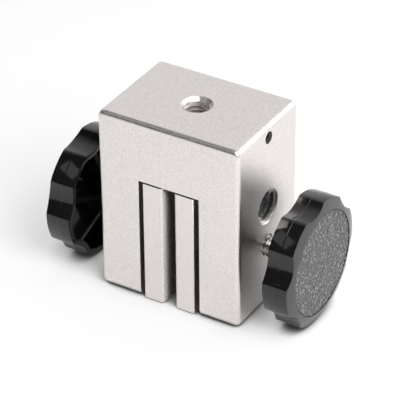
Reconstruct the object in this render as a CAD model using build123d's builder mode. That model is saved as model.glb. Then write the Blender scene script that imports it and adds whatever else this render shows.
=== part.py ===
"""Two-knob parallel jaw grip for a tensile tester.

Frame: millimetres, +Z up, X from knob to knob, front face towards -Y.
The origin is at the middle of the block's underside. Facing pairs are made
for side = -1 (left) and side = +1 (right).
"""
from build123d import *
from math import cos, radians, sin, tan
import os

# Jaws, and the slot that they slide in
jaw_thickness = 6.35          # steel plate, along X
jaw_gap = 3.4                 # between the gripping faces as shown
jaw_back_gap = 1.475          # from each jaw to its slot wall as shown
jaw_end_gap = 0.25            # jaw to slot roof, and jaw above the underside
jaw_entry_radius = 1.25       # rounding of the gripping face's upright edges
jaw_back_radius = 0.3         # rounding of the back face's upright edges

# Block
side_wall = 12.7              # block wall beside the slot
body_depth = 31.75            # front to back
slot_height = 38.1            # open at the underside
bridge_height = 19.05         # solid block above the slot
long_edge_radius = 2.2        # the four edges that run from front to back
face_edge_radius = 1.4        # sides and top of the front and back faces
slot_edge_chamfer = 0.3       # slot mouth, front and back

# Mounting thread in the top, and its lock screw
mount_thread_radius = 3.969   # 5/16-18
mount_thread_depth = 14.3
drill_point_angle = 118       # cone at the bottom of the hole
mount_mouth_chamfer = 0.45
lock_thread_radius = 1.753    # No. 6-32
lock_hole_drop = 3.6          # hole axis below the top
lock_screw_length = 6.35
lock_screw_setback = 0.8      # point of the screw to the mounting thread
lock_socket_flats = 1.59
lock_socket_depth = 2.4

# Cross threads in the side walls, above the clamp screws
side_thread_radius = 4.763    # 3/8-16
side_thread_rise = 12.7       # above the clamp screw's axis
side_mouth_chamfer = 0.5

# Clamp screws
screw_thread_radius = 3.175   # 1/4-20
thread_clearance = 0.05       # radial, all threads
nose_radius = 2.0             # turned end that swivels in the jaw
nose_length = 4.45
nose_clearance = 0.05         # radial, and at the shoulder
nose_end_gap = 0.15
groove_radius = 1.3
pin_radius = 0.794            # 1/16 in dowel
pin_setback = 2.45            # pin axis from the jaw's back
pin_clearance = 0.05          # pin to groove
pin_overrun = 3.2             # pin past the screw's axis
pin_recess = 0.5              # pin end below the jaw's rear face
screw_head_flats = 9.5        # hex moulded into the knob
screw_head_thickness = 4.0

# Knobs
knob_radius = 18.7            # at the parting line
floor_gap = 0.15              # knobs above the underside
lobe_count = 6
flute_radius = 10.8
flute_depth = 1.7             # from the knob radius to the bottom of a flute
ridge_chamfer = 0.25          # flats that blunt the ridges between lobes and flutes
draft_angle = 1.2             # both ways from the parting line
rim_depth = 7.5               # back edge to front edge
rim_wall = 1.6
face_plate = 2.0              # thickness behind the front edge
crown_rise = 0.9              # from the front edge up to the crown's inner edge
disc_radius = 15.4            # grained disc
disc_recess = 0.25            # disc below the crown's inner edge
hub_radius = 6.6
hub_gap = 4.0                 # hub end to the block as shown
hub_overhang = 4.8            # hub end past the rim's back edge
rib_thickness = 1.5
rib_drop = 2.4                # fall of a rib's edge from the hub to the rim
rib_setback = 3.7             # rib's edge below the hub end, at the hub
right_lobe_angle = 49.7       # first lobe, from the front towards the top
left_lobe_angle = 46.9

# Worked out from the sizes above
jaw_face_x = jaw_gap / 2
jaw_back_x = jaw_face_x + jaw_thickness
slot_width = 2 * (jaw_back_x + jaw_back_gap)
slot_wall_x = slot_width / 2
body_width = slot_width + 2 * side_wall
body_side_x = body_width / 2
body_height = slot_height + bridge_height
jaw_height = slot_height - 2 * jaw_end_gap
clamp_z = knob_radius + floor_gap
drill_point_height = mount_thread_radius / tan(radians(drill_point_angle / 2))
lock_hole_radius = lock_thread_radius + thread_clearance
side_thread_z = clamp_z + side_thread_rise
lock_z = body_height - lock_hole_drop
screw_hole_radius = screw_thread_radius + thread_clearance
hub_end_x = body_side_x + hub_gap
rim_back_x = hub_end_x + hub_overhang
parting_x = rim_back_x + rim_depth / 2
rim_front_x = rim_back_x + rim_depth
crown_x = rim_front_x + crown_rise
disc_x = crown_x - disc_recess
shoulder_x = jaw_back_x + nose_clearance
socket_radius = nose_radius + nose_clearance
socket_depth = nose_length + nose_end_gap
pin_x = jaw_back_x - pin_setback
pin_offset = groove_radius + pin_clearance + pin_radius
groove_width = 2 * (pin_radius + pin_clearance)
pin_hole_depth = body_depth / 2 + pin_overrun
lobe_step = 360 / lobe_count
flute_circle_radius = knob_radius - flute_depth + flute_radius
crown_slope = crown_rise / (knob_radius - disc_radius)
face_back_x = rim_front_x - face_plate
screw_head_x = face_back_x - screw_head_thickness
hub_height = face_back_x - hub_end_x
rib_hub_x = hub_end_x + rib_setback
rib_root_radius = hub_radius / 2
rib_end_radius = knob_radius - flute_depth - rim_wall / 2
rib_foot_x = rim_front_x - face_plate / 2
lock_point_x = mount_thread_radius + lock_screw_setback
lock_end_x = lock_point_x + lock_screw_length

# Which end of a solid stands on the plane that places it
INWARDS = (Align.CENTER, Align.CENTER, Align.MAX)
OUTWARDS = (Align.CENTER, Align.CENTER, Align.MIN)


def side_name(side):
    return "left" if side < 0 else "right"


def outward_plane(side, x, height, turn=0.0):
    """Plane across an X axis at distance x, facing outwards; turn runs from the front up."""
    upward = radians(turn)
    return Plane(origin=(side * x, 0, height), x_dir=(0, -cos(upward), sin(upward)), z_dir=(side, 0, 0))


def rear_plane(x, recess, height):
    """Plane that faces rearwards, at a recess below the jaws' rear ends."""
    return Plane(origin=(x, body_depth / 2 - recess, height), z_dir=(0, 1, 0))


def spoke_plane(side, turn):
    """Plane through the knob's axis and a spoke at turn, local x outwards and local y along the spoke."""
    upward = radians(turn)
    across = Vector(side, 0, 0).cross(Vector(0, -cos(upward), sin(upward)))
    return Plane(origin=(0, 0, clamp_z), x_dir=(side, 0, 0), z_dir=across)


def section_plane(side, height):
    """Upright plane along the X axis, local x outwards and local y upwards."""
    return Plane(origin=(0, 0, height), x_dir=(side, 0, 0), z_dir=(0, -side, 0))


def cut_bore(plane, radius, depth, mouth=0.0):
    """Round hole into a face, with an optional chamfer at its mouth; plane lies on the face."""
    with Locations(plane):
        Cylinder(radius, depth, align=INWARDS, mode=Mode.SUBTRACT)
        if mouth:
            Cone(radius, radius + mouth, mouth, align=INWARDS, mode=Mode.SUBTRACT)


def save(piece, name):
    piece.part.label = name
    export_step(piece.part, f"parts/{name}.step")


os.makedirs("parts", exist_ok=True)

# Block: rounded all round, slotted from below, threaded at the top and sides
with BuildPart() as grip_body:
    with BuildSketch(Plane.XZ) as front:
        with Locations((0, body_height / 2)):
            Rectangle(body_width, body_height)
        fillet(front.vertices().group_by(Axis.Y)[-1], long_edge_radius)
    extrude(amount=body_depth / 2, both=True)
    fillet(grip_body.edges().filter_by(Axis.Z), face_edge_radius)
    fillet(grip_body.edges().filter_by(Axis.Y).group_by(Axis.Z)[0], long_edge_radius)
    with BuildSketch(Plane.XZ):
        with Locations((0, slot_height / 2)):
            Rectangle(slot_width, slot_height)
    extrude(amount=body_depth, both=True, mode=Mode.SUBTRACT)
    slot_edges = grip_body.faces(Select.LAST).edges().group_by(Axis.Y)
    chamfer(slot_edges[0] + slot_edges[-1], slot_edge_chamfer)
    # Mounting thread in the top, with its drill point
    top_plane = Plane.XY.offset(body_height)
    cut_bore(top_plane, mount_thread_radius, mount_thread_depth, mount_mouth_chamfer)
    with Locations(top_plane.offset(-mount_thread_depth)):
        Cone(0, mount_thread_radius, drill_point_height, align=INWARDS, mode=Mode.SUBTRACT)
    # Lock screw's thread, from the right side into the mounting thread
    cut_bore(outward_plane(1, body_side_x, lock_z), lock_hole_radius, body_side_x)
    # Cross threads and clamp screw threads, through both walls into the slot
    for side in (-1, 1):
        upper = outward_plane(side, body_side_x, side_thread_z)
        cut_bore(upper, side_thread_radius, side_wall, side_mouth_chamfer)
        cut_bore(outward_plane(side, body_side_x, clamp_z), screw_hole_radius, side_wall)
save(grip_body, "grip_body")

# Lock screw: hex socket outwards, flat point towards the mounting thread
with BuildPart() as lock_screw:
    with Locations(outward_plane(1, lock_point_x, lock_z)):
        Cylinder(lock_thread_radius, lock_screw_length, align=OUTWARDS)
    with BuildSketch(outward_plane(1, lock_end_x, lock_z)):
        RegularPolygon(lock_socket_flats / 2, 6, major_radius=False)
    extrude(amount=-lock_socket_depth, mode=Mode.SUBTRACT)
save(lock_screw, "lock_screw")

for side, lobe_angle in ((-1, left_lobe_angle), (1, right_lobe_angle)):
    name = side_name(side)
    screw_axis = Axis((0, 0, clamp_z), (side, 0, 0))

    # Jaw: plate with a rounded gripping face and a blind socket for the screw's nose
    with BuildPart() as jaw:
        with BuildSketch(Plane.XY.offset(jaw_end_gap)) as plate:
            with Locations((side * (jaw_face_x + jaw_back_x) / 2, 0)):
                Rectangle(jaw_thickness, body_depth)
            fillet(plate.vertices().sort_by(screw_axis)[:2], jaw_entry_radius)
            fillet(plate.vertices().sort_by(screw_axis)[-2:], jaw_back_radius)
        extrude(amount=jaw_height)
        with Locations(outward_plane(side, jaw_back_x, clamp_z)):
            Cylinder(socket_radius, socket_depth, align=INWARDS, mode=Mode.SUBTRACT)
        for level in (-1, 1):
            with Locations(rear_plane(side * pin_x, 0, clamp_z + level * pin_offset)):
                Cylinder(pin_radius, pin_hole_depth, align=INWARDS, mode=Mode.SUBTRACT)
    save(jaw, f"{name}_jaw")

    # Dowels above and below the neck of the nose, pressed in from the rear
    for level, level_name in ((-1, "lower"), (1, "upper")):
        with BuildPart() as retaining_pin:
            with Locations(rear_plane(side * pin_x, pin_recess, clamp_z + level * pin_offset)):
                Cylinder(pin_radius, pin_hole_depth - pin_recess, align=INWARDS)
        save(retaining_pin, f"{name}_{level_name}_retaining_pin")

    # Clamp screw: grooved nose, thread, and a hex head inside the knob
    with BuildPart() as clamp_screw:
        with BuildSketch(section_plane(side, clamp_z)):
            with BuildLine():
                Polyline(
                    (shoulder_x - nose_length, 0),
                    (shoulder_x - nose_length, nose_radius),
                    (pin_x - groove_width / 2, nose_radius),
                    (pin_x - groove_width / 2, groove_radius),
                    (pin_x + groove_width / 2, groove_radius),
                    (pin_x + groove_width / 2, nose_radius),
                    (shoulder_x, nose_radius),
                    (shoulder_x, screw_thread_radius),
                    (screw_head_x, screw_thread_radius),
                    (screw_head_x, 0),
                    close=True,
                )
            make_face()
        revolve(axis=screw_axis)
        with BuildSketch(outward_plane(side, screw_head_x, clamp_z)):
            RegularPolygon(screw_head_flats / 2, 6, major_radius=False)
        extrude(amount=screw_head_thickness)
    save(clamp_screw, f"{name}_clamp_screw")

    # Knob: fluted rim drafted both ways, crowned face, hollow ribbed back
    with BuildPart() as knob:
        with BuildSketch(outward_plane(side, parting_x, clamp_z, lobe_angle)) as outline:
            Circle(knob_radius)
            with PolarLocations(flute_circle_radius, lobe_count, start_angle=lobe_step / 2):
                Circle(flute_radius, mode=Mode.SUBTRACT)
            chamfer(outline.vertices(), ridge_chamfer)
        extrude(amount=rim_depth / 2 + crown_rise, taper=draft_angle)
        extrude(outline.sketch, amount=-rim_depth / 2, taper=draft_angle)
        # Crown and recessed disc, turned out of the fluted blank
        with BuildSketch(section_plane(side, clamp_z)):
            with BuildLine():
                Polyline(
                    (rim_back_x, 0),
                    (rim_back_x, knob_radius + rim_wall),
                    (rim_front_x - crown_slope * rim_wall, knob_radius + rim_wall),
                    (crown_x, disc_radius),
                    (disc_x, disc_radius),
                    (disc_x, 0),
                    close=True,
                )
            make_face()
        revolve(axis=screw_axis, mode=Mode.INTERSECT)
        # Cavity, with walls that follow the lobes and flutes
        with BuildSketch(outward_plane(side, rim_back_x, clamp_z, lobe_angle)):
            Circle(knob_radius - rim_wall)
            with PolarLocations(flute_circle_radius, lobe_count, start_angle=lobe_step / 2):
                Circle(flute_radius + rim_wall, mode=Mode.SUBTRACT)
        extrude(amount=rim_depth - face_plate, mode=Mode.SUBTRACT)
        # Hub
        with Locations(outward_plane(side, hub_end_x, clamp_z)):
            Cylinder(hub_radius, hub_height, align=OUTWARDS)
        # Ribs from the hub to the flutes
        for rib in range(lobe_count):
            with BuildSketch(spoke_plane(side, lobe_angle + lobe_step / 2 + lobe_step * rib)):
                with BuildLine():
                    Polyline(
                        (rib_hub_x, rib_root_radius),
                        (rib_hub_x, hub_radius),
                        (rib_hub_x + rib_drop, rib_end_radius),
                        (rib_foot_x, rib_end_radius),
                        (rib_foot_x, rib_root_radius),
                        close=True,
                    )
                make_face()
            extrude(amount=rib_thickness / 2, both=True)
        # Moulded round the screw
        add(clamp_screw.part, mode=Mode.SUBTRACT)
    save(knob, f"{name}_knob")
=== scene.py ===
"""Looks of the two-knob jaw grip: finishes, threads, serrations, grained discs and the studio.

Lengths are metres in the model's frame. MM turns a size in millimetres into metres.
"""
import math

import bmesh
import bpy
from mathutils import Matrix, Vector, geometry, noise

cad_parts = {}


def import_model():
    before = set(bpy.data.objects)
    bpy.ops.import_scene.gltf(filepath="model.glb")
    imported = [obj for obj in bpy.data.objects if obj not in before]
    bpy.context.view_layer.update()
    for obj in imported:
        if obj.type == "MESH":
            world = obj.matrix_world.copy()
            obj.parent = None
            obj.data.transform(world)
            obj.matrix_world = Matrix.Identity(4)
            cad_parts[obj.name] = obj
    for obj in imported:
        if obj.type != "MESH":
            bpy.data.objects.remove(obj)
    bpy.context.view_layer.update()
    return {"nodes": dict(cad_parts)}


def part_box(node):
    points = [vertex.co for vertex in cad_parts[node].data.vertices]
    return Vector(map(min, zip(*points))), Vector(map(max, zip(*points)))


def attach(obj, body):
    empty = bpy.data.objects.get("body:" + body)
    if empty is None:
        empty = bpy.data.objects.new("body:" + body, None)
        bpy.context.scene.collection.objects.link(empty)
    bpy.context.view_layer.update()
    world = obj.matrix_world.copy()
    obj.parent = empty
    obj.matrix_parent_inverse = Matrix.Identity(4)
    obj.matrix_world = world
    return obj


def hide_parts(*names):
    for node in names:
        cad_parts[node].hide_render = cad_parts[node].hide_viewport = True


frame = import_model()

MM = 0.001
# Points closer together than this are merged
MERGE_DISTANCE = 1e-7
nodes = frame["nodes"]
SIDES = ((-1, "left"), (1, "right"))

# Sizes repeated from the model
CLAMP_Z = 18.85 * MM
SIDE_THREAD_Z = 31.55 * MM
LOCK_Z = 53.55 * MM
BODY_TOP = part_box("grip_body")[1].z
BODY_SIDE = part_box("grip_body")[1].x
SLOT_WALL_X = 9.525 * MM
JAW_FACE_X = 1.7 * MM
DISC_X = 39.175 * MM
DISC_RADIUS = 15.4 * MM
CROWN_X = 39.425 * MM
RIM_BACK_X = 31.025 * MM
RIM_FRONT_X = 38.525 * MM
RIM_INNER_RADIUS = 15.0 * MM
PARTING_X = 34.775 * MM
NOSE_RADIUS = 2.0 * MM
NOSE_SHOULDER_X = 8.1 * MM
NOSE_OVERLAP = 0.5 * MM
GROOVE_RADIUS = 1.3 * MM
GROOVE_NEAR_X = 4.856 * MM
GROOVE_FAR_X = 6.544 * MM
SCREW_HEAD_FLATS = 9.5 * MM
SCREW_HEAD_THICKNESS = 4.0 * MM

# Bore threads: radius, pitch, start and end below the mouth, and width of the mouth's chamfer
MOUNT_DEPTH = 14.3 * MM
WALL = BODY_SIDE - SLOT_WALL_X
MOUNT_THREAD = (3.969 * MM, 1.411 * MM, 0.3 * MM, MOUNT_DEPTH - 0.5 * MM, 0.45 * MM)
SIDE_THREAD = (4.763 * MM, 1.5875 * MM, 0.3 * MM, WALL - 0.2 * MM, 0.5 * MM)
LOCK_THREAD = (1.803 * MM, 0.794 * MM, 0.1 * MM, 9.0 * MM, 0.2 * MM)

# Clamp screw thread: radius and pitch
CLAMP_THREAD = (3.175 * MM, 1.27 * MM)

# All threads: depth, points round one turn, and how far a ridge sinks into its bore's wall
THREAD_DEPTH_PER_PITCH = 0.6
THREAD_STEPS = 56
THREAD_SEAT = 0.03 * MM
NOSE_STEPS = 64

# Serration of the gripping faces
TOOTH_PITCH = 0.85 * MM
TOOTH_DEPTH = 0.33 * MM
TOOTH_SKIM = 0.012 * MM
CUTTER_REACH = 1.5 * MM
FLANK_MOST_X = 0.97
FLANK_LEAST_Z = 0.05

# Grain of the knobs' discs
GRAIN_SPACING = 0.18 * MM
GRAIN_CELL = 1.2 * MM
GRAIN_DEPTH = 0.28 * MM
GRAIN_WARP = 0.35
GRAIN_WARP_SCALE = 1.3
CREASE_WIDTH = 0.5
CREASE_POWER = 1.3
GRAIN_OFFSET = Vector((11.3, 4.7, 2.9)) * MM
NOISE_SEED = 7
MOAT_RADIUS = 15.05 * MM
MOAT_DEPTH = 0.35 * MM
MOAT_WALL = 0.1 * MM
GRID_RADIUS = MOAT_RADIUS - 0.12 * MM
RING_POINTS = 420
RING_RADII = (
    MOAT_RADIUS - 0.05 * MM,
    MOAT_RADIUS + 0.01 * MM,
    MOAT_RADIUS + MOAT_WALL,
    DISC_RADIUS - 0.08 * MM,
)
GATE_RADIUS = 0.9 * MM
GATE_WALL = 0.4 * MM
GATE_DEPTH = 0.25 * MM

# Rounded outline and parting line of the knobs
EDGE_ROUND = 0.35 * MM
PARTING_WIDTH = 0.3 * MM
PARTING_INNER_RADIUS = RIM_INNER_RADIUS + 0.4 * MM
PLANE_TOLERANCE = 0.01 * MM
OUTLINE_BACK_X = RIM_BACK_X + 0.05 * MM
OUTLINE_FRONT_X = RIM_FRONT_X - 0.6 * MM
OUTLINE_ANGLE = math.radians(30)
SHARP_ANGLE = math.radians(24)

# Studio: light levels, and the floor's share of plain white
ROOM_DARK = 0.05
ROOM_PALE = 0.85
FLOOR_WHITE = 1.08
FLOOR_CAMERA_SHARE = 0.5
FLOOR_GLOSSY_SHARE = 0.2
FLOOR_REACH = 4.0
FLOOR_DROP = 0.02 * MM
CONTACT_REACH = 8 * MM
# The floor's greys close to the object, where they paint a contact shadow, and away from it, and the
# openness that goes with each
FLOOR_GREYS_WITH_PAINTED_SHADOW = (0.12, 0.9)
FLOOR_OPENNESS = (0.3, 0.6)
# Heading along y, from -1 at the front to 1 at the back, where the room is dark and where pale
ROOM_HEADINGS = (-0.1, 0.45)

scene = bpy.context.scene
# Without a seed, noise_vector starts from the clock and the grain changes at each run
noise.seed_set(NOISE_SEED)


def new_object(name, mesh):
    piece = bpy.data.objects.new(name, mesh)
    scene.collection.objects.link(piece)
    return piece


# Materials


class Wiring:
    """Small helper that adds and links nodes in one tree."""

    def __init__(self, tree):
        self.tree = tree

    def add(self, kind, **values):
        node = self.tree.nodes.new(kind)
        for key, value in values.items():
            if key in node.inputs:
                node.inputs[key].default_value = value
            else:
                setattr(node, key, value)
        return node

    def link(self, source, target):
        self.tree.links.new(source, target)

    def calc(self, operation, *operands):
        """Maths node; each operand is a number or another node's output."""
        node = self.add("ShaderNodeMath", operation=operation)
        for socket, operand in zip(node.inputs, operands):
            if isinstance(operand, (int, float)):
                socket.default_value = operand
            else:
                self.link(operand, socket)
        return node.outputs[0]

    def remap(self, value, low, high, from_low=0.3, from_high=0.7, shape="LINEAR"):
        """Value mapped to low..high; the defaults suit a noise texture's usual range."""
        node = self.add("ShaderNodeMapRange", interpolation_type=shape)
        node.inputs["From Min"].default_value = from_low
        node.inputs["From Max"].default_value = from_high
        node.inputs["To Min"].default_value = low
        node.inputs["To Max"].default_value = high
        self.link(value, node.inputs["Value"])
        return node.outputs["Result"]


class Shader(Wiring):
    """One procedural material round a Principled BSDF."""

    def __init__(self, name):
        self.material = bpy.data.materials.new(name)
        self.material.use_nodes = True
        super().__init__(self.material.node_tree)
        self.bsdf = self.tree.nodes["Principled BSDF"]
        self.coords = self.add("ShaderNodeTexCoord")

    def noise(self, scale, detail, roughness, stretch=(1, 1, 1)):
        mapping = self.add("ShaderNodeMapping")
        mapping.inputs["Scale"].default_value = stretch
        self.link(self.coords.outputs["Object"], mapping.inputs["Vector"])
        texture = self.add("ShaderNodeTexNoise", Scale=scale, Detail=detail, Roughness=roughness)
        self.link(mapping.outputs["Vector"], texture.inputs["Vector"])
        return texture.outputs["Fac"]

    def ramp(self, value, stops):
        ramp = self.add("ShaderNodeValToRGB")
        elements = ramp.color_ramp.elements
        while len(elements) < len(stops):
            elements.new(0.5)
        for element, (place, colour) in zip(elements, stops):
            element.position = place
            element.color = (*colour, 1)
        self.link(value, ramp.inputs["Fac"])
        return ramp.outputs["Color"]

    def place(self):
        """The shaded point's x, y and z outputs, in the object's own frame."""
        parts = self.add("ShaderNodeSeparateXYZ")
        self.link(self.coords.outputs["Object"], parts.inputs["Vector"])
        return parts.outputs

    def depth_below(self, x):
        """Distance from the two planes |x| = x towards the middle."""
        return self.calc("SUBTRACT", x, self.calc("ABSOLUTE", self.place()["X"]))

    def plane_band(self, x, width, clear_radius):
        """1 on the two planes |x| = x, 0 half the width away and inside the radius."""
        away = self.calc("ABSOLUTE", self.depth_below(x))
        place = self.place()
        height = self.calc("SUBTRACT", place["Z"], CLAMP_Z)
        across_squared = self.calc("MULTIPLY", place["Y"], place["Y"])
        height_squared = self.calc("MULTIPLY", height, height)
        radius = self.calc("SQRT", self.calc("ADD", across_squared, height_squared))
        outside = self.calc("GREATER_THAN", radius, clear_radius)
        return self.calc("MULTIPLY", self.remap(away, 1, 0, 0, width / 2), outside)

    def bump(self, layers):
        """Chain of bumps from (height, strength, distance) layers."""
        normal = None
        for height, strength, distance in layers:
            node = self.add("ShaderNodeBump", Strength=strength, Distance=distance)
            self.link(height, node.inputs["Height"])
            if normal is not None:
                self.link(normal, node.inputs["Normal"])
            normal = node.outputs["Normal"]
        self.link(normal, self.bsdf.inputs["Normal"])

    def colour(self, value):
        self.link(value, self.bsdf.inputs["Base Color"])

    def roughness(self, value):
        self.link(value, self.bsdf.inputs["Roughness"])

    def set(self, **values):
        for key, value in values.items():
            self.bsdf.inputs[key].default_value = value


def grey(level, warmth=0.0):
    """Neutral grey, or a slightly warm one."""
    return (level * (1 + warmth), level, level * (1 - warmth))


def nickel(level):
    """Grey with the warm cast of nickel."""
    return (level * 1.055, level, level * 0.98)


def satin_nickel():
    """Bead-blasted block: fine grain, soft reflections."""
    s = Shader("satin_nickel")
    fine = s.noise(2600, 2.0, 0.6)
    broad = s.noise(60, 3.0, 0.5)
    s.colour(s.ramp(fine, ((0.3, nickel(0.66)), (0.7, nickel(0.84)))))
    s.roughness(s.remap(broad, 0.3, 0.35))
    s.bump(((fine, 0.6, 0.12 * MM), (broad, 0.01, 0.4 * MM)))
    s.set(Metallic=1.0)
    return s.material


def ground_steel():
    """Jaw plates: fine grain over faint upright grinding lines."""
    s = Shader("ground_steel")
    lines = s.noise(900, 2.0, 0.6, (1, 1, 0.08))
    grain = s.noise(2400, 2.0, 0.6)
    s.colour(s.ramp(grain, ((0.3, nickel(0.66)), (0.7, nickel(0.82)))))
    s.roughness(s.remap(grain, 0.27, 0.34))
    s.bump(((grain, 0.45, 0.1 * MM), (lines, 0.04, 0.03 * MM)))
    s.set(Metallic=1.0)
    return s.material


def serrated_steel():
    """Teeth: bright at their tips, darker in the grooves, where the darkening is painted shade."""
    s = Shader("serrated_steel")
    grain = s.noise(3000, 2.0, 0.6)
    depth = s.remap(s.depth_below(JAW_FACE_X), 0, 1, 0, -TOOTH_DEPTH)
    # Painted shade: the steel's colour darkens with depth into the grooves
    painted_groove_shade = s.ramp(depth, ((0.0, nickel(0.65)), (0.5, nickel(0.42)), (1.0, nickel(0.2))))
    s.colour(painted_groove_shade)
    s.roughness(s.remap(grain, 0.3, 0.36))
    s.bump(((grain, 0.2, 0.05 * MM),))
    s.set(Metallic=1.0)
    return s.material


def plated_steel():
    """Clamp screws, retaining pins and cross threads."""
    s = Shader("plated_steel")
    grain = s.noise(1800, 2.0, 0.6)
    s.colour(s.ramp(grain, ((0.3, grey(0.6, 0.01)), (0.7, grey(0.72, 0.01)))))
    s.roughness(s.remap(grain, 0.2, 0.28))
    s.bump(((grain, 0.08, 0.04 * MM),))
    s.set(Metallic=1.0)
    return s.material


def black_oxide():
    """Lock screw, and the thread that it sits in, whose black is painted shade that darkens the hole."""
    s = Shader("black_oxide")
    grain = s.noise(2400, 2.0, 0.6)
    s.colour(s.ramp(grain, ((0.3, grey(0.03)), (0.7, grey(0.06)))))
    s.roughness(s.remap(grain, 0.35, 0.5))
    s.bump(((grain, 0.1, 0.04 * MM),))
    s.set(Metallic=0.6)
    return s.material


def grained_black():
    """Discs: grey on the pebbles' tops as painted sheen, black in the creases as painted shade."""
    s = Shader("black_grained")
    fine = s.noise(1500, 2.0, 0.5)
    sink = s.depth_below(CROWN_X)
    # Painted sheen on the pebbles' tops and painted shade in the creases, the moat and the gate, set by
    # the depth below the crown
    tops = s.ramp(s.remap(sink, 0, 1, 0, GRAIN_DEPTH), ((0.0, grey(0.16)), (1.0, grey(0.008))))
    s.colour(tops)
    s.roughness(s.remap(fine, 0.2, 0.3))
    s.bump(((fine, 0.1, 0.05 * MM),))
    s.set(IOR=1.52)
    return s.material


def black_moulding(name, rough_low, rough_high, painted_sheen=0.0):
    """Knobs: black moulded plastic with a raised parting line; a painted sheen lightens it."""
    s = Shader(name)
    fine = s.noise(1500, 2.0, 0.5)
    broad = s.noise(90, 3.0, 0.5)
    # The painted sheen lifts the black towards grey
    s.colour(s.ramp(fine, ((0.3, grey(painted_sheen + 0.004)), (0.7, grey(painted_sheen + 0.009)))))
    s.roughness(s.remap(broad, rough_low, rough_high))
    seam = s.plane_band(PARTING_X, PARTING_WIDTH, PARTING_INNER_RADIUS)
    s.bump(((fine, 0.06, 0.05 * MM), (broad, 0.05, 0.3 * MM), (seam, 1.0, 0.04 * MM)))
    s.set(IOR=1.52)
    return s.material


NICKEL = satin_nickel()
GROUND = ground_steel()
TEETH = serrated_steel()
PLATED = plated_steel()
OXIDE_AND_HOLE_SHADE = black_oxide()
GLOSSY = black_moulding("black_gloss", 0.08, 0.13)
# The satin crown gets a painted sheen of 0.03
SATIN = black_moulding("black_satin", 0.16, 0.22, 0.03)
GRAINED = grained_black()


def dress(piece, *materials):
    """Gives a piece its materials; this also sets every face back to the first one."""
    piece.data.materials.clear()
    for material in materials:
        piece.data.materials.append(material)


# Threads


def swept_object(name, bm):
    """Object from a bmesh whose sweep may have collapsed faces at its ends."""
    bmesh.ops.dissolve_degenerate(bm, dist=MERGE_DISTANCE, edges=bm.edges)
    bmesh.ops.recalc_face_normals(bm, faces=bm.faces)
    mesh = bpy.data.meshes.new(name)
    bm.to_mesh(mesh)
    bm.free()
    return new_object(name, mesh)


def helix_ridge(name, plane, radius, pitch, start, end, mouth, material):
    """Internal thread: a helical ridge inside a bore.

    plane is (origin, across, up, outwards): the bore's mouth centre and its frame. start and
    end are depths below the mouth, and mouth is the width of the mouth's 45 degree chamfer.
    """
    origin, across, up, outwards = plane
    depth = THREAD_DEPTH_PER_PITCH * pitch
    minor = radius - depth
    seat = radius + THREAD_SEAT
    # Profile of one turn: (place along the pitch, radius)
    profile = ((-0.44, seat), (-0.07, minor), (0.07, minor), (0.44, seat))
    first = int(math.floor(start / pitch * THREAD_STEPS))
    last = int(math.ceil(end / pitch * THREAD_STEPS))
    bm = bmesh.new()
    rows = []
    for i in range(first, last + 1):
        angle = -2 * math.pi * i / THREAD_STEPS
        around = across * math.cos(angle) + up * math.sin(angle)
        row = []
        for along, r in profile:
            s = min(max((i / THREAD_STEPS + along) * pitch, start), end)
            crest = max(r, min(seat, radius + mouth - s))
            row.append(bm.verts.new(origin - outwards * s + around * crest))
        rows.append(row)
    for a, b in zip(rows, rows[1:]):
        for k in range(len(profile) - 1):
            bm.faces.new((a[k], b[k], b[k + 1], a[k + 1]))
    piece = swept_object(f"{name}_ridge", bm)
    dress(piece, material)
    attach(piece, "grip")


X, Y, Z = Vector((1, 0, 0)), Vector((0, 1, 0)), Vector((0, 0, 1))


def side_plane(side, x, z):
    """Centre and frame of a bore or screw on one side: origin, across, up, outwards."""
    return (Vector((side * x, 0, z)), Y * side, Z, X * side)


helix_ridge("mounting_thread", (Vector((0, 0, BODY_TOP)), X, Y, Z), *MOUNT_THREAD, NICKEL)
# The lock hole's thread takes the screw's black finish as painted shade, so that the hole reads dark
helix_ridge("lock_thread", side_plane(1, BODY_SIDE, LOCK_Z), *LOCK_THREAD, OXIDE_AND_HOLE_SHADE)
for side, name in SIDES:
    cross_plane = side_plane(side, BODY_SIDE, SIDE_THREAD_Z)
    helix_ridge(f"{name}_cross_thread", cross_plane, *SIDE_THREAD, PLATED)


def ring_point(plane, along, angle, radius):
    """Point at a distance along a plane's outward axis, and at an angle and radius round it."""
    origin, across, up, outwards = plane
    return origin + outwards * along + (across * math.cos(angle) + up * math.sin(angle)) * radius


def add_revolved(bm, plane, profile):
    """Closed solid of revolution from (along, radius) points; the first and last have radius 0."""
    angles = [2 * math.pi * i / NOSE_STEPS for i in range(NOSE_STEPS)]
    rings = []
    for along, radius in profile:
        around = angles if radius else angles[:1]
        rings.append([bm.verts.new(ring_point(plane, along, angle, radius)) for angle in around])
    for a, b in zip(rings, rings[1:]):
        for i in range(NOSE_STEPS):
            j = (i + 1) % NOSE_STEPS
            corners = [a[i % len(a)], a[j % len(a)], b[j % len(b)], b[i % len(b)]]
            bm.faces.new(list(dict.fromkeys(corners)))


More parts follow.
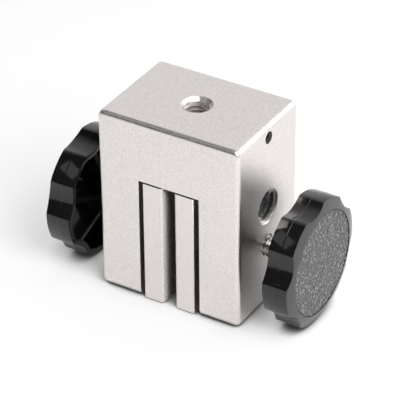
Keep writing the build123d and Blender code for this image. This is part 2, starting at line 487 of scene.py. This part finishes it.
def add_external_thread(bm, plane, start, end):
    """Threaded length whose rows follow the helix, chamfered at its start."""
    radius, pitch = CLAMP_THREAD
    minor = radius - THREAD_DEPTH_PER_PITCH * pitch
    # Profile of one turn: (place along the pitch, radius)
    profile = ((0.0, minor), (0.14, minor), (0.46, radius), (0.54, radius), (0.86, minor))
    turns = int(math.ceil((end - start) / pitch)) + 2
    rows = []
    for turn in range(-1, turns):
        for along, r in profile:
            row = []
            for i in range(THREAD_STEPS):
                s = start + (turn + along + i / THREAD_STEPS) * pitch
                t = min(max(s, start), end)
                crest = min(r if s == t else minor, minor + (t - start))
                row.append(bm.verts.new(ring_point(plane, t, 2 * math.pi * i / THREAD_STEPS, crest)))
            rows.append(row)
    for a, b in zip(rows, rows[1:]):
        for i in range(THREAD_STEPS - 1):
            bm.faces.new((a[i], a[i + 1], b[i + 1], b[i]))
    # The last step of a row meets the first step one turn further on
    per_turn = len(profile)
    for k in range(len(rows) - per_turn - 1):
        a, b = rows[k], rows[k + 1]
        c, d = rows[k + per_turn], rows[k + 1 + per_turn]
        bm.faces.new((a[-1], c[0], d[0], b[-1]))


def add_hex_head(bm, plane, start, end):
    """Hexagon that is moulded into the knob."""
    corner = SCREW_HEAD_FLATS / 2 / math.cos(math.pi / 6)
    angles = [math.pi / 6 + math.pi / 3 * k for k in range(6)]
    near = [bm.verts.new(ring_point(plane, start, angle, corner)) for angle in angles]
    far = [bm.verts.new(ring_point(plane, end, angle, corner)) for angle in angles]
    bm.faces.new(near)
    bm.faces.new(far)
    for k in range(6):
        bm.faces.new((near[k], near[(k + 1) % 6], far[(k + 1) % 6], far[k]))


def clamp_screw(side, name):
    """Threaded version of a clamp screw, on the node's own axis."""
    low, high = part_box(f"{name}_clamp_screw")
    inner, outer = sorted((abs(low.x), abs(high.x)))
    head = outer - SCREW_HEAD_THICKNESS
    # The nose runs on a little inside the threaded length
    neck = NOSE_SHOULDER_X + NOSE_OVERLAP
    plane = side_plane(side, 0, CLAMP_Z)
    nose = (
        (inner, 0), (inner, NOSE_RADIUS), (GROOVE_NEAR_X, NOSE_RADIUS), (GROOVE_NEAR_X, GROOVE_RADIUS),
        (GROOVE_FAR_X, GROOVE_RADIUS), (GROOVE_FAR_X, NOSE_RADIUS), (neck, NOSE_RADIUS), (neck, 0),
    )
    bm = bmesh.new()
    add_revolved(bm, plane, nose)
    add_external_thread(bm, plane, NOSE_SHOULDER_X, head)
    add_hex_head(bm, plane, head, outer)
    piece = swept_object(f"{name}_threaded_screw", bm)
    dress(piece, PLATED)
    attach(piece, f"{name}_knob_and_screw")
    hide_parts(f"{name}_clamp_screw")


for side, name in SIDES:
    clamp_screw(side, name)


# Jaws: the plate with its serration cut by crossing V grooves


def tooth_cutter(side, low, high):
    """Solid on the free side of a gripping face whose near side is a field of pyramids."""
    half = TOOTH_PITCH / 2
    columns = int((high.y - low.y) / half) // 2 * 2 + 6
    rows = int((high.z - low.z) / half) // 2 * 2 + 6
    start_y = (low.y + high.y) / 2 - columns / 2 * half
    start_z = (low.z + high.z) / 2 - rows / 2 * half
    face_x = side * JAW_FACE_X
    bm = bmesh.new()
    grid = []
    for i in range(columns + 1):
        column = []
        for j in range(rows + 1):
            cut = TOOTH_DEPTH if (i + j) % 2 == 0 else TOOTH_SKIM
            column.append(bm.verts.new((face_x + side * cut, start_y + i * half, start_z + j * half)))
        grid.append(column)
    for i in range(columns):
        for j in range(rows):
            a, b, c, d = grid[i][j], grid[i + 1][j], grid[i + 1][j + 1], grid[i][j + 1]
            if (i + j) % 2 == 0:
                bm.faces.new((a, b, c))
                bm.faces.new((a, c, d))
            else:
                bm.faces.new((a, b, d))
                bm.faces.new((b, c, d))
    border = [e for e in bm.edges if e.is_boundary]
    made = bmesh.ops.extrude_edge_only(bm, edges=border)["geom"]
    far = [v for v in made if isinstance(v, bmesh.types.BMVert)]
    for v in far:
        v.co.x = face_x - side * CUTTER_REACH
    bmesh.ops.holes_fill(bm, edges=[e for e in bm.edges if e.is_boundary], sides=0)
    bmesh.ops.recalc_face_normals(bm, faces=bm.faces)
    mesh = bpy.data.meshes.new("tooth_cutter")
    bm.to_mesh(mesh)
    bm.free()
    return new_object("tooth_cutter", mesh)


def is_toothed(polygon, side):
    """Whether a face of a jaw is a flank that the grooves left."""
    depth = polygon.center.x * side - JAW_FACE_X
    slope = polygon.normal
    return depth < TOOTH_DEPTH and abs(slope.x) < FLANK_MOST_X and abs(slope.z) > FLANK_LEAST_Z


def serrated_jaw(side, name):
    """Jaw with teeth cut into its gripping face."""
    source = nodes[f"{name}_jaw"]
    low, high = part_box(f"{name}_jaw")
    piece = new_object(f"{name}_serrated_jaw", source.data.copy())
    cutter = tooth_cutter(side, low, high)
    modifier = piece.modifiers.new("teeth", "BOOLEAN")
    modifier.operation = "DIFFERENCE"
    modifier.solver = "EXACT"
    modifier.object = cutter
    evaluated = piece.evaluated_get(bpy.context.evaluated_depsgraph_get())
    mesh = bpy.data.meshes.new_from_object(evaluated)
    piece.modifiers.clear()
    piece.data = mesh
    bpy.data.objects.remove(cutter)
    dress(piece, GROUND, TEETH)
    # The teeth are shaded flat, and the other faces keep the model's normals
    shading = [Vector(corner.vector) for corner in mesh.corner_normals]
    for polygon in mesh.polygons:
        polygon.material_index = 0
        if is_toothed(polygon, side):
            polygon.material_index = 1
            for corner in polygon.loop_indices:
                shading[corner] = polygon.normal.copy()
    mesh.normals_split_custom_set(shading)
    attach(piece, f"{name}_jaw_carriage")
    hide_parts(f"{name}_jaw")


for side, name in SIDES:
    serrated_jaw(side, name)


# Knobs: the moulding with its disc grained like pebbled leather


def ramp_up(distance, width):
    """0 before the start of a wall, 1 past its width."""
    return max(0.0, min(1.0, distance / width))


def grain_height(place):
    """0 on the pebbles' tops to 1 in the creases between them."""
    warped = place / GRAIN_CELL + GRAIN_WARP * noise.noise_vector(place / GRAIN_CELL * GRAIN_WARP_SCALE)
    distances, _ = noise.voronoi(warped)
    gap = min(1.0, (distances[1] - distances[0]) / CREASE_WIDTH)
    return (1.0 - gap) ** CREASE_POWER


def disc_sink(flat, offset):
    """Depth of the grained surface below the crown: pebbles inside, a narrow moat round them."""
    r = flat.length
    pebbles = GRAIN_DEPTH * grain_height(Vector((flat.x, flat.y, 0)) + offset)
    gate = GATE_DEPTH * ramp_up(GATE_RADIUS - r, GATE_WALL)
    moat = MOAT_DEPTH * ramp_up(r - MOAT_RADIUS, MOAT_WALL)
    return max(pebbles, gate, moat)


def disc_points():
    """Triangular grid inside the moat, and rings of points that follow the moat's walls."""
    points = []
    step_y, step_z = GRAIN_SPACING, GRAIN_SPACING * math.sqrt(3) / 2
    count = int(DISC_RADIUS / step_z) + 2
    for j in range(-count, count + 1):
        for i in range(-count, count + 1):
            p = Vector(((i + 0.5 * (j % 2)) * step_y, j * step_z))
            if p.length < GRID_RADIUS:
                points.append(p)
    for radius in RING_RADII:
        for i in range(RING_POINTS):
            angle = 2 * math.pi * i / RING_POINTS
            points.append(Vector((math.cos(angle), math.sin(angle))) * radius)
    return points


def is_disc(face):
    """Whether a face belongs to the model's plain disc."""
    reach = abs(face.calc_center_median().x)
    return abs(reach - DISC_X) < PLANE_TOLERANCE and abs(face.normal.x) > 0.99


def is_outline(edge):
    """Whether an edge is a sharp one of the rim's front or back outline."""
    if len(edge.link_faces) != 2 or edge.calc_face_angle() < OUTLINE_ANGLE:
        return False
    start, end = (v.co for v in edge.verts)
    middle = (start + end) / 2
    radial = math.hypot(middle.y, middle.z - CLAMP_Z)
    reach = abs(middle.x)
    at_an_end = reach < OUTLINE_BACK_X or reach > OUTLINE_FRONT_X
    return radial > RIM_INNER_RADIUS and at_an_end and abs((start - end).normalized().x) < 0.7


def is_crown(face, side):
    """Whether a plain face belongs to the sloping front of the knob."""
    reach = abs(face.calc_center_median().x)
    return face.material_index == 0 and face.normal.x * side > 0.5 and reach > RIM_FRONT_X - EDGE_ROUND


def grain_disc(bm, side):
    """Puts the grained surface in place of the plain disc, and returns its faces."""
    bmesh.ops.delete(bm, geom=[f for f in bm.faces if is_disc(f)], context="FACES_ONLY")
    rim = [e for e in bm.edges if e.is_boundary]
    # Each point once, in an order that is the same at each run
    verts = list(dict.fromkeys(v for e in rim for v in e.verts))
    index = {v: i for i, v in enumerate(verts)}
    edges = [(index[e.verts[0]], index[e.verts[1]]) for e in rim]
    points = [Vector((v.co.y, v.co.z - CLAMP_Z)) for v in verts] + disc_points()
    # Triangulated in millimetres, because the tolerance is an absolute one
    out, _, faces, _, _, _ = geometry.delaunay_2d_cdt([p / MM for p in points], edges, [], 0, 1e-6)
    offset = Vector((side * GRAIN_OFFSET.x, GRAIN_OFFSET.y, GRAIN_OFFSET.z))
    made = verts[:]
    for p in out[len(verts):]:
        flat = Vector((p.x, p.y)) * MM
        made.append(bm.verts.new((side * (CROWN_X - disc_sink(flat, offset)), flat.x, flat.y + CLAMP_Z)))
    grained = []
    for face in faces:
        centre = sum((out[k] for k in face), Vector((0, 0))) / len(face)
        if centre.length * MM < DISC_RADIUS:
            grained.append(bm.faces.new([made[k] for k in face]))
    bmesh.ops.recalc_face_normals(bm, faces=bm.faces)
    return grained


def grained_knob(side, name):
    """Knob with a grained disc, a rounded outline and three finishes."""
    mesh = nodes[f"{name}_knob"].data.copy()
    # The imported shading normals don't fit the reworked faces
    custom = mesh.attributes.get("custom_normal")
    if custom:
        mesh.attributes.remove(custom)
    bm = bmesh.new()
    bm.from_mesh(mesh)
    bmesh.ops.remove_doubles(bm, verts=bm.verts, dist=MERGE_DISTANCE)
    for face in grain_disc(bm, side):
        face.material_index = 1
    bmesh.ops.bevel(
        bm, geom=[e for e in bm.edges if is_outline(e)], offset=EDGE_ROUND, offset_type="OFFSET",
        segments=3, profile=0.5, affect="EDGES", clamp_overlap=True,
    )
    # The rounding may push a point a hair past the crown
    for v in bm.verts:
        v.co.x = side * min(abs(v.co.x), CROWN_X)
    for face in bm.faces:
        face.smooth = True
    for edge in bm.edges:
        plain = len(edge.link_faces) == 2 and edge.link_faces[0].material_index == 0
        if plain and edge.calc_face_angle() > SHARP_ANGLE:
            edge.smooth = False
    for face in bm.faces:
        if is_crown(face, side):
            face.material_index = 2
    piece = new_object(f"{name}_grained_knob", mesh)
    # Dressed before the faces are written, because dress would reset their materials
    dress(piece, GLOSSY, GRAINED, SATIN)
    bm.to_mesh(mesh)
    bm.free()
    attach(piece, f"{name}_knob_and_screw")
    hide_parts(f"{name}_knob")


for side, name in SIDES:
    grained_knob(side, name)

# CAD nodes that are shown as they are
dress(nodes["grip_body"], NICKEL)
dress(nodes["lock_screw"], OXIDE_AND_HOLE_SHADE)
for node in nodes:
    if node.endswith("retaining_pin"):
        dress(nodes[node], PLATED)

# Floor, light and camera


def photo_camera():
    """Camera fitted to the photograph."""
    azimuth, elevation, roll = (math.radians(a) for a in (31.33, 33.249, -0.483))
    distance = 675.64 * MM
    focal_pixels, picture = 2442.75, 400
    slide = Vector((-0.49, 1.937)) * MM
    target = Vector((0, 0, BODY_TOP / 2))
    back = Vector((
        math.sin(azimuth) * math.cos(elevation),
        -math.cos(azimuth) * math.cos(elevation),
        math.sin(elevation),
    ))
    right = (-back).cross(Z).normalized()
    up = right.cross(-back)
    tilted_right = right * math.cos(roll) + up * math.sin(roll)
    tilted_up = up * math.cos(roll) - right * math.sin(roll)
    place = target + back * distance - tilted_right * slide.x - tilted_up * slide.y
    data = bpy.data.cameras.new("camera")
    data.sensor_width = 36
    data.lens = focal_pixels * data.sensor_width / picture
    data.clip_start, data.clip_end = 0.01, 20
    camera = bpy.data.objects.new("camera", data)
    scene.collection.objects.link(camera)
    camera.matrix_world = Matrix((
        (tilted_right.x, tilted_up.x, back.x, place.x),
        (tilted_right.y, tilted_up.y, back.y, place.y),
        (tilted_right.z, tilted_up.z, back.z, place.z),
        (0, 0, 0, 1),
    ))
    scene.camera = camera


def area_light(name, place, target, size, radiance):
    """Soft box of the given radiance, facing target."""
    data = bpy.data.lights.new(name, "AREA")
    data.shape = "RECTANGLE"
    data.size, data.size_y = size
    data.energy = radiance * math.pi * size[0] * size[1]
    lamp = bpy.data.objects.new(name, data)
    scene.collection.objects.link(lamp)
    lamp.location = place
    lamp.rotation_mode = "QUATERNION"
    lamp.rotation_quaternion = (Vector(target) - Vector(place)).to_track_quat("-Z", "Y")


def floor_finish():
    """Matt pale floor. Part of what the camera and reflections see is plain white.

    That share keeps the shadows faint. It fades close to the object, and the floor's colour darkens
    there as a painted contact shadow, so that the contact shadow still shows.
    """
    s = Shader("floor")
    s.bsdf.inputs["Roughness"].default_value = 1.0
    s.bsdf.inputs["Specular IOR Level"].default_value = 0.0
    openness = s.add("ShaderNodeAmbientOcclusion", Distance=CONTACT_REACH).outputs["AO"]
    # Painted contact shadow: the floor's grey drops where the ambient occlusion is low
    s.colour(s.remap(openness, *FLOOR_GREYS_WITH_PAINTED_SHADOW, *FLOOR_OPENNESS))
    rays = s.add("ShaderNodeLightPath")
    glossy = s.calc("MULTIPLY", rays.outputs["Is Glossy Ray"], FLOOR_GLOSSY_SHARE)
    camera = s.remap(openness, 0, FLOOR_CAMERA_SHARE, 0, 1)
    share = s.calc("MULTIPLY_ADD", rays.outputs["Is Camera Ray"], camera, glossy)
    white = s.add("ShaderNodeEmission", Strength=FLOOR_WHITE)
    mix = s.add("ShaderNodeMixShader")
    # The white share also fades with the occlusion, which deepens the painted contact shadow
    s.link(s.calc("MULTIPLY", share, openness), mix.inputs["Fac"])
    s.link(s.bsdf.outputs["BSDF"], mix.inputs[1])
    s.link(white.outputs["Emission"], mix.inputs[2])
    s.link(mix.outputs["Shader"], s.tree.nodes["Material Output"].inputs["Surface"])
    return s.material


def floor():
    """Floor just under the block, so that the two surfaces don't coincide."""
    corners = [(x * FLOOR_REACH, y * FLOOR_REACH, 0) for x, y in ((-1, -1), (1, -1), (1, 1), (-1, 1))]
    mesh = bpy.data.meshes.new("floor")
    mesh.from_pydata(corners, [], [(0, 1, 2, 3)])
    plane = new_object("floor", mesh)
    plane.location.z = -FLOOR_DROP
    plane.data.materials.append(floor_finish())


def world():
    """Room: pale behind the object, dark on the camera's side."""
    scene.world = bpy.data.worlds.new("studio")
    scene.world.use_nodes = True
    room = Wiring(scene.world.node_tree)
    back = room.tree.nodes["Background"]
    coords = room.add("ShaderNodeTexCoord")
    parts = room.add("ShaderNodeSeparateXYZ")
    room.link(coords.outputs["Generated"], parts.inputs["Vector"])
    spread = room.remap(parts.outputs["Y"], ROOM_DARK, ROOM_PALE, *ROOM_HEADINGS, "SMOOTHSTEP")
    room.link(spread, back.inputs["Strength"])
    back.inputs["Color"].default_value = (1, 1, 1, 1)


photo_camera()
floor()
world()
# Soft boxes: place, target, size and radiance
area_light("key_box", (0.65, -0.3, 0.7), (0, 0, 0), (0.6, 0.6), 10)
area_light("back_box", (0.5, 0.7, 0.4), (0, 0, 0.03), (0.5, 0.4), 2.6)
area_light("left_strip", (-0.4, -0.5, 0.72), (0, 0, 0.03), (0.45, 0.3), 0.8)

scene.view_settings.view_transform = "Standard"
